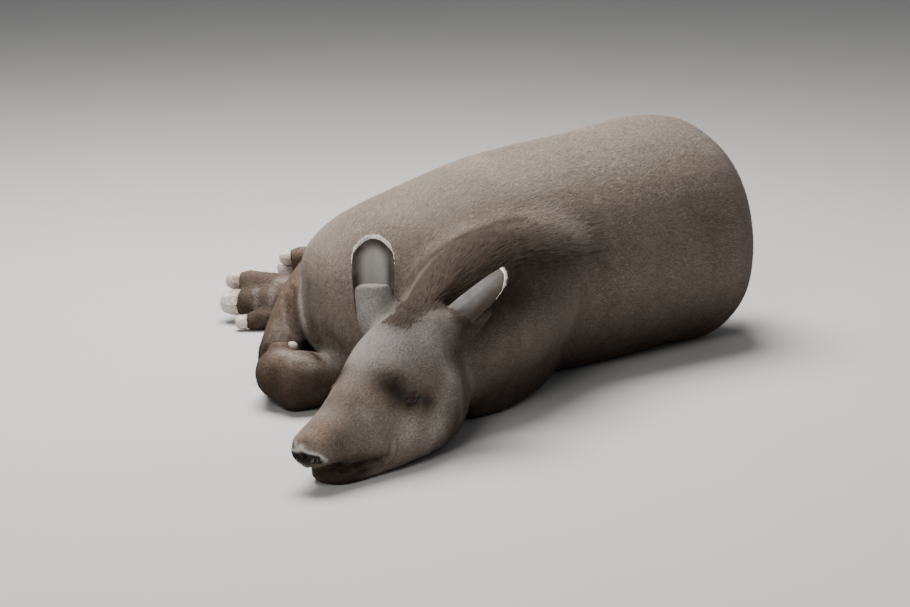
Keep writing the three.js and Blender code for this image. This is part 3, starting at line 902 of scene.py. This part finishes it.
class MarkingsAndPaintedLight:
    """The tones of the coat and the skin, both markings and painted shade and highlight, at any
    points, from places found once on the skin
    """

    def __init__(self, tree):
        nostril, rim, edge = (seen(tree, line) for line in (NOSTRIL, NOSE_RIM, NOSE_EDGE))
        openings = (nostril, edge, mirrored(nostril))
        low, high = (Vector(corner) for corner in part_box("tail"))
        self.spots = [(DARK, (low + high) / 2, 0.060, 0.75)]
        for tone, pixel, *shape in FACE_MARKS:
            near = seen(tree, [pixel])
            self.spots += [(tone, place, *shape) for place in (*near, *mirrored(near, 0.0))]
        self.lines = [
            # the nostrils: dark bare skin, partly painted shade inside their openings
            *((BARE_AND_SHADE, line, 0.0095, 1.4) for line in openings),
            *((WET, line, 0.0110, 1.4) for line in openings),
            *((NOSE, line, 0.0042, 1.0) for line in (rim, mirrored(rim))),
            (NOSE, seen(tree, NOSE_PATCH), 0.0050, 1.0),
            *((tone, seen(tree, line), *shape) for tone, line, *shape in BODY_MARKS),
            # the dark mouth line: dark lips, partly painted shade in the mouth's crease
            *((DARK, line, 0.014, 0.9) for line in both(MOUTH)),
            *((BARE_AND_SHADE, line, 0.005, 1.0) for line in both(MOUTH)),
            *((BARE_AND_SHADE, line, 0.006, 1.0) for line in both(SLIT)),
            *((WET, line, 0.005, 1.0) for line in both(SLIT)),
            (DARK, [head(*place) for place in FORELOCK], 0.034, 1.00),
        ]

    def at(self, points):
        """How strong each tone is at each point"""
        tones = np.zeros((len(points), TONES))
        for tone, place, radius, strength in self.spots:
            away = apart(points, place) / radius
            add_tone(tones, tone, strength * np.exp(-(away**2)))
        for tone, line, width, strength in self.lines:
            if len(line) > 1:
                away = along(points, line)[0] / width
                add_tone(tones, tone, strength * np.exp(-(away**2)))
        crest, share = along(points, CREST)
        x, y, z = points.T
        nape = ramp(-crest, -0.21, -0.10) * ramp(1 - share, 0.1, 0.7) * ramp(x, -0.72, -0.66)
        # painted shade: the coat darkened towards the floor, under the body
        shaded_underside = ramp(-z, -0.21, -0.03) * ramp(x, -0.80, -0.70)
        # painted shade on the low side of the trunk that faces the camera
        shaded_near_low_side = ramp(-y, 0.14, 0.27) * ramp(x, -0.6, -0.3) * ramp(-z, -0.36, -0.14)
        forefoot = ramp(y, 0.02, 0.12) * ramp(-x, 0.56, 0.60)
        forearm = ramp(y, 0.27, 0.33) * ramp(-x, 0.30, 0.40)
        regions = [
            (DARK, nape),
            # painted shade under the body, and on the trunk's low side that faces the camera
            (DARK, 0.88 * shaded_underside),
            (DARK, 0.12 * shaded_near_low_side),
            # painted shade at the bottom of the forefoot, near the floor
            (DARK, 0.55 * forefoot * ramp(-z, -0.10, -0.04)),
            # painted light: the top of the body made paler, where the light from above falls
            (PALE, 0.10 * ramp(z, 0.34, 0.50)),
            (WARM, forefoot * ramp(-z, -0.20, -0.12)),
            (WARM, 0.8 * ramp(y, 0.36, 0.60)),
            (WARM, 0.8 * forearm),
        ]
        for tone, strength in regions:
            add_tone(tones, tone, strength)
        return tones


def store(mesh, name, values):
    """A number for each vertex, or a colour of four numbers"""
    kind, key = ("FLOAT", "value") if values.ndim == 1 else ("FLOAT_COLOR", "color")
    attribute = mesh.attributes.new(name, kind, "POINT")
    attribute.data.foreach_set(key, np.ascontiguousarray(values, dtype=np.float32).ravel())


def store_tones(mesh, tones):
    store(mesh, "marks", tones[:, : BARE_AND_SHADE + 1])
    for name, tone in (("warm", WARM), ("nose", NOSE), ("wet", WET)):
        store(mesh, name, tones[:, tone])


class Ground:
    """A skin as the ground that hair grows on: its triangles, normals and map"""

    def __init__(self, mesh):
        mesh.calc_loop_triangles()
        loops = read(mesh.loop_triangles, "loops", 3, np.int32)
        self.corners = read(mesh.loop_triangles, "vertices", 3, np.int32)
        self.uv = read(mesh.uv_layers["OFBake"].data, "uv", 2)[loops]
        self.points = points_of(mesh)
        self.normals = normals_of(mesh)
        a, b, c = (self.points[self.corners[:, k]] for k in range(3))
        across = np.cross(b - a, c - a)
        self.areas = np.linalg.norm(across, axis=1) / 2
        self.facing = unit(across)
        self.middles = (a + b + c) / 3

    def roots(self, density, rng):
        """Places of hair: density is how many grow on each square metre of each triangle"""
        count = rng.poisson(self.areas * density)
        face = np.repeat(np.arange(len(count)), count)
        u, v = rng.random((2, len(face)))
        flip = u + v > 1
        u, v = np.where(flip, 1 - u, u), np.where(flip, 1 - v, v)
        shares = np.stack([1 - u - v, u, v], axis=1)[:, :, None]
        corner = self.corners[face]
        return {
            "at": (self.points[corner] * shares).sum(1),
            "normal": unit((self.normals[corner] * shares).sum(1)),
            "uv": (self.uv[face] * shares).sum(1),
            "face": face,
        }


TUFT_TAPER = 0.7  # how a tuft narrows to its point
TUFT_RIDGE = 0.7  # the height of its ridge, as a share of half its width
TUFT_FACING = 0.6  # how far its shading follows the skin's normal
TUFT_MAP = 0.003  # its size in the map


def hair_mesh(name, roots, lie, sizes, rng, rings=1, droop=0.0, tones=None):
    """Closed three-sided tufts: each leaves its root at an angle, bends along the lie and ends
    in a point. The sizes are length, width and rise, each with its least and most share."""
    at, normal = roots["at"], roots["normal"]
    n = len(at)
    length, width, rise = (size * rng.uniform(least, most, n) for size, least, most in sizes)
    lie = unit(lie - normal * (lie * normal).sum(1)[:, None])
    side = np.cross(normal, lie)
    rows = []
    for k in range(rings):
        t = k / rings
        up = rise * (1 - (1 - t) ** 2) / 2 + (rise / 2) * t
        above = (length * up - droop * length * t * t)[:, None]
        middle = at + lie * (length * t)[:, None] + normal * above
        half = (width * (1 - t) ** TUFT_TAPER / 2)[:, None]
        ridge = normal * half * TUFT_RIDGE
        rows += [middle - side * half, middle + side * half, middle + ridge]
    end = at + lie * length[:, None] + normal * (length * (rise - droop))[:, None]
    places = np.clip(np.stack([*rows, end], axis=1), *np.array(cad_box))
    each = 3 * rings + 1
    last = each - 4
    sides = ((0, 1), (1, 2), (2, 0))
    faces = [(0, 2, 1)]
    for low in range(0, last, 3):
        high = low + 3
        for a, b in sides:
            faces += [(low + a, low + b, high + b), (low + a, high + b, high + a)]
    faces += [(last + a, last + b, each - 1) for a, b in sides]
    corner = (np.array(faces)[None] + (np.arange(n) * each)[:, None, None]).reshape(-1, 3)
    mesh = bpy.data.meshes.new(name)
    mesh.vertices.add(n * each)
    mesh.vertices.foreach_set("co", places.astype(np.float32).ravel())
    mesh.loops.add(corner.size)
    mesh.loops.foreach_set("vertex_index", corner.astype(np.int32).ravel())
    mesh.polygons.add(len(corner))
    mesh.polygons.foreach_set("loop_start", np.arange(0, corner.size, 3, dtype=np.int32))
    rounded(mesh)
    mesh.update(calc_edges=True)
    spread = [(-0.5, -0.4), (0.5, -0.4), (0.0, 0.1)] * rings + [(0.0, 0.5)]
    uv = roots["uv"][:, None] + (np.array(spread) * TUFT_MAP)[None]
    uv = uv.reshape(-1, 2)[corner.ravel()]
    mesh.uv_layers.new(name="OFBake").data.foreach_set("uv", uv.astype(np.float32).ravel())
    store(mesh, "shade", np.repeat(rng.random(n), each))
    if tones is not None:
        store_tones(mesh, np.repeat(tones, each, axis=0))
    own = unit(places - (places[:, :1] + places[:, 1:2]) / 2 + normal[:, None] * 1e-4)
    facing = unit(normal[:, None] * TUFT_FACING + own * (1 - TUFT_FACING)).reshape(-1, 3)
    mesh.normals_split_custom_set_from_vertices(facing.astype(np.float32))
    return mesh


def finish_piece(piece, material):
    piece.data.materials.clear()
    piece.data.materials.append(material)
    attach(piece, "root")


# The way the coat lies on each part of the flesh
LIE = {
    "torso": (1.0, 0.10, -0.12),
    "neck": (0.86, 0.42, -0.10),
    "head": (0.97, 0.235, -0.05),
    "tail": (0.6, 0.4, -0.6),
    "leg_fore_left": (-0.8, 0.3, 0.0),
    "leg_fore_right": (-0.85, 0.1, -0.4),
    "leg_hind_left": (-0.55, 0.82, -0.1),
    "leg_hind_right": (-0.5, 0.8, -0.25),
}


def owners(ground, trees):
    """Which part of the flesh each triangle of the skin belongs to"""
    best = np.full(len(ground.middles), FAR)
    owner = np.zeros(len(ground.middles), int)
    for k, name in enumerate(FLESH):
        low, high = (np.array(corner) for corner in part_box(name))
        near = (ground.middles > low - 0.03) & (ground.middles < high + 0.03)
        for i in np.nonzero(np.all(near, axis=1))[0]:
            gap = trees[name].find_nearest(ground.middles[i], 0.05)[3]
            if gap is not None and gap < best[i]:
                best[i] = gap
                owner[i] = k
    return owner


def add_coat(ground, owner, marks, material, rng):
    """The short coat, in a few pieces, smallest on the face and feet, denser to the camera"""
    x, _, z = ground.middles.T
    of = {name: owner == k for k, name in enumerate(FLESH)}
    fore = of["leg_fore_left"] | of["leg_fore_right"]
    hind = of["leg_hind_left"] | of["leg_hind_right"] | of["tail"]
    zones = {  # where, how many in all, how long and how wide
        "coat_face": (of["head"], 48000, 0.0044, 0.0009),
        "coat_neck": (of["neck"], 38000, 0.0075, 0.0012),
        "coat_shoulder": (of["torso"] & (x < -0.25), 42000, 0.0085, 0.0014),
        "coat_ribs": (of["torso"] & (x >= -0.25) & (x < 0.1), 38000, 0.0090, 0.0015),
        "coat_flank": (of["torso"] & (x >= 0.1) & (x < 0.38), 38000, 0.0090, 0.0015),
        "coat_rump": (of["torso"] & (x >= 0.38), 38000, 0.0090, 0.0015),
        "coat_fore": (fore, 36000, 0.0052, 0.0011),
        "coat_hind": (hind, 34000, 0.0060, 0.0012),
    }
    lies = np.array([LIE[name] for name in FLESH])
    to_camera = np.array(CAMERA_PLACE[:]) - ground.middles
    facing = (to_camera * ground.facing).sum(1) / np.linalg.norm(to_camera, axis=1)
    dense = ramp(facing, -0.6, 0.2) * 0.65 + 0.35
    for name, (zone, count, length, width) in zones.items():
        amount = np.where(zone & (z > 0.004), dense, 0.0)
        amount *= count / (ground.areas * amount).sum()
        roots = ground.roots(amount, rng)
        n = len(roots["at"])
        lie = lies[owner[roots["face"]]] + rng.normal(0, 0.16, (n, 3))
        tones = marks.at(roots["at"])
        hairy = rng.random(n) > tones[:, BARE_AND_SHADE] + tones[:, NOSE]
        roots = {key: value[hairy] for key, value in roots.items()}
        sizes = [(length, 0.7, 1.3), (width, 0.8, 1.2), (0.22, 0.5, 1.3)]
        mesh = hair_mesh(name, roots, lie[hairy], sizes, rng, tones=tones[hairy])
        finish_piece(shown(name, mesh), material)


MANE_HAIRS = 12000


def add_mane(ground, marks, material, rng):
    """The mane: denser, longer hair from between the ears along the crest, fanned to both sides"""
    path = [head(*place) for place in FORELOCK[:-1]] + CREST
    crest, share = along(ground.middles, path)
    up = ramp(ground.middles[:, 2], 0.20, 0.27)
    width = 0.035 + 0.125 * ramp(share, 0.05, 0.35)
    amount = ramp(1 - crest / width, 0.0, 0.55) * ramp(1 - share, 0.0, 0.25) * up
    amount *= MANE_HAIRS / (ground.areas * amount).sum()
    roots = ground.roots(amount, rng)
    gap, share = along(roots["at"], path)
    ways = unit(np.diff(np.array([place[:] for place in path]), axis=0))
    way = ways[np.clip((share * len(ways)).astype(int), 0, len(ways) - 1)]
    aside = 0.3 * roots["normal"] * np.array([0, 1, 0])
    lie = way + aside + rng.normal(0, 0.12, way.shape)
    tall = ramp(-gap, -0.09, 0.0) * ramp(share, 0.0, 0.3)
    tones = marks.at(roots["at"])
    add_tone(tones, DARK, (0.98 - 0.95 * share) * ramp(-gap, -0.12, -0.02))
    sizes = [(0.013 + 0.019 * tall, 0.75, 1.25), (0.0019, 0.8, 1.2), (0.20 + 0.42 * tall, 0.7, 1.2)]
    mesh = hair_mesh("mane", roots, lie, sizes, rng, rings=3, droop=0.12, tones=tones)
    finish_piece(shown("mane", mesh), material)


def ear_edge(place):
    """The free edge of an ear's leaf, up one side, over the tip and down the other"""
    rise = place["tip"] - place["root"]
    up, across, front = ear_axes(place)
    edge = []
    for k in range(-EAR_STEPS, EAR_STEPS + 1):
        share = math.cos(math.pi / 2 * k / EAR_STEPS) ** 0.7
        ring = 2 * math.sqrt(share * (1 - share))
        opened = 1.75 - 0.9 * min(1, share * 1.3)
        breadth = 1.3 - 0.3 * share + 0.1 * math.sin(math.pi * share)
        arc = EAR_HALF * breadth * min(1, ring * (2 if share < 0.5 else 1.2) + 0.02)
        bend = arc / opened
        turn = math.copysign(opened, k)
        back = EAR_HALF * EAR_BACK * (1 - share)
        ahead = (bend - bend * math.cos(turn)) * place["depth"] - back
        climb = -EAR_SUNK + (rise.length + EAR_SUNK) * share
        edge.append(place["root"] + up * climb + across * (bend * math.sin(turn)) + front * ahead)
    return edge


def ear_leaf(name):
    """An ear's leaf, made fine, soft and as deep as in the photograph, with its lowest part sunk"""
    place = EARS[name]
    bm = remeshed(node_copy(name, EAR_JOIN), EAR_VOXEL)
    smoothed(bm, bm.verts, 12)
    up, _, front = ear_axes(place)
    points = bm_points(bm) - np.array(place["root"][:])
    height, ahead = points @ np.array(up[:]), points @ np.array(front[:])
    share = (height + EAR_SUNK) / ((place["tip"] - place["root"]).length + EAR_SUNK)
    deeper = (place["depth"] - 1) * np.maximum(ahead + EAR_HALF * EAR_BACK * (1 - share), 0)
    sink = EAR_DROP * ramp(-height, -0.040, -0.012)
    for vert, push, drop in zip(bm.verts, deeper, sink):
        vert.co += front * push - up * drop
    return shown(name + "_leaf", mesh_of(bm, name))


def add_ear(name, material, white, rng):
    """An ear: its leaf, with the rim marked out and set with white hair"""
    place = EARS[name]
    piece = ear_leaf(name)
    mesh = piece.data
    bpy.ops.object.select_all(action="DESELECT")
    lay_out(piece, EAR_MARGIN)
    from_edge, along_edge = along(points_of(mesh), ear_edge(place))
    to_tip = 1 - np.abs(2 * along_edge - 1)
    rim_width = 0.0012 + 0.0058 * ramp(to_tip, 0.50, 0.88)
    rim = 1 - ramp(from_edge, rim_width * 0.4, rim_width * 1.6)
    mouth = np.array(place["mouth"].normalized()[:])
    store(mesh, "inner", ramp(normals_of(mesh) @ mouth, 0.0, 0.5))
    store(mesh, "rim", rim * ramp(to_tip, 0.42, 0.60))
    # the band along the leaf's edge that is browner, partly painted shade of the folded edges
    store(mesh, "edge", 1 - ramp(from_edge, 0.012, 0.036))
    rounded(mesh)
    finish_piece(piece, material)
    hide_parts(name)
    ground = Ground(mesh)
    ring = (rim * ramp(to_tip, 0.48, 0.80))[ground.corners].mean(1)
    roots = ground.roots(ramp(ring, 0.6, 0.95) * 1100000, rng)
    out = unit(roots["at"] - np.array(((place["root"] + place["tip"]) / 2)[:]))
    lie = out + 0.5 * np.array(ear_axes(place)[0][:]) + rng.normal(0, 0.35, out.shape)
    sizes = [(0.0042, 0.6, 1.5), (0.0008, 0.8, 1.3), (0.3, 0.4, 1.3)]
    hair = shown(name + "_rim", hair_mesh(name + "_rim", roots, lie, sizes, rng, rings=2))
    finish_piece(hair, white)


HOOF_VOXEL = 0.0021
HOOF_ROOT = 0.007  # how far a hoof reaches back under the skin of its toe
HOOF_FLOOR = 0.0004  # a hoof's lowest places
HOOF_TOE = 0.075  # how near a limb's points are to a hoof to be its toe's
FOLDED_TIP = 0.42  # the hooves of the folded forefoot take more of the root's darker colour


def hoof_names():
    return [name for name in sorted(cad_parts) if name.startswith("hoof_")]


def add_hooves(material):
    for name in hoof_names():
        bm = remeshed(node_copy(name), HOOF_VOXEL)
        smoothed(bm, bm.verts, 9)
        points = bm_points(bm)
        centre = points.mean(axis=0)
        limb = points_of(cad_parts["leg_" + "_".join(name.split("_")[1:3])].data)
        toe = limb[apart(limb, centre) < HOOF_TOE]
        back = unit(toe.mean(axis=0) - centre)
        reach = (centre - points) @ back
        tip = (reach - reach.min()) / (reach.max() - reach.min())
        points += back * (HOOF_ROOT * ramp(-tip, -0.5, 0.0))[:, None]
        points[:, 2] = np.maximum(points[:, 2], HOOF_FLOOR)
        place_verts(bm, points)
        mesh = mesh_of(bm, name + "_horn")
        store(mesh, "tip", tip * (FOLDED_TIP if "fore_left" in name else 1.0))
        rounded(mesh)
        piece = shown(name + "_horn", mesh)
        finish_piece(piece, material)
        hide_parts(name)


def add_stage():
    bm = bmesh.new()
    bmesh.ops.create_grid(bm, x_segments=1, y_segments=1, size=30)
    floor = shown("floor", mesh_of(bm, "floor"))
    floor.data.materials.append(floor_finish())
    world = bpy.data.worlds.new("studio")
    world.use_nodes = True
    sky = world.node_tree.nodes["Background"].inputs
    sky["Color"].default_value = (0.86, 0.9, 0.95, 1)
    sky["Strength"].default_value = 0.26
    bpy.context.scene.world = world
    add_light("top", (-0.1, 1.1, 3.6), (-0.2, 0.1, 0.2), 3.0, 425, (1.0, 0.985, 0.965))
    add_light("front", (-4.2, -2.0, 2.8), (-0.85, -0.3, 0.1), 1.8, 110, (1.0, 0.975, 0.94))


add_camera()
rng = np.random.default_rng(SEED)
bm, trees = skin_form()
skin_mesh = mesh_of(bm, "skin")
rounded(skin_mesh)
faces = [polygon.vertices for polygon in skin_mesh.polygons]
marks = MarkingsAndPaintedLight(BVHTree.FromPolygons(points_of(skin_mesh), faces))
store_tones(skin_mesh, marks.at(points_of(skin_mesh)))
skin = shown("skin", skin_mesh)
finish_piece(skin, coat_finish("skin_coat", False))
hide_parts(*FLESH)

ground = Ground(skin_mesh)
coat = coat_finish("coat_hair", True)
add_coat(ground, owners(ground, trees), marks, coat, rng)
add_mane(ground, marks, coat, rng)
ear_skin = ear_finish()
white = white_hair_finish()
for name in EARS:
    add_ear(name, ear_skin, white, rng)
add_hooves(horn_finish())
wet = eye_finish()
for name in ("eye_left", "eye_right"):
    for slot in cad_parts[name].material_slots:
        slot.material = wet
add_stage()
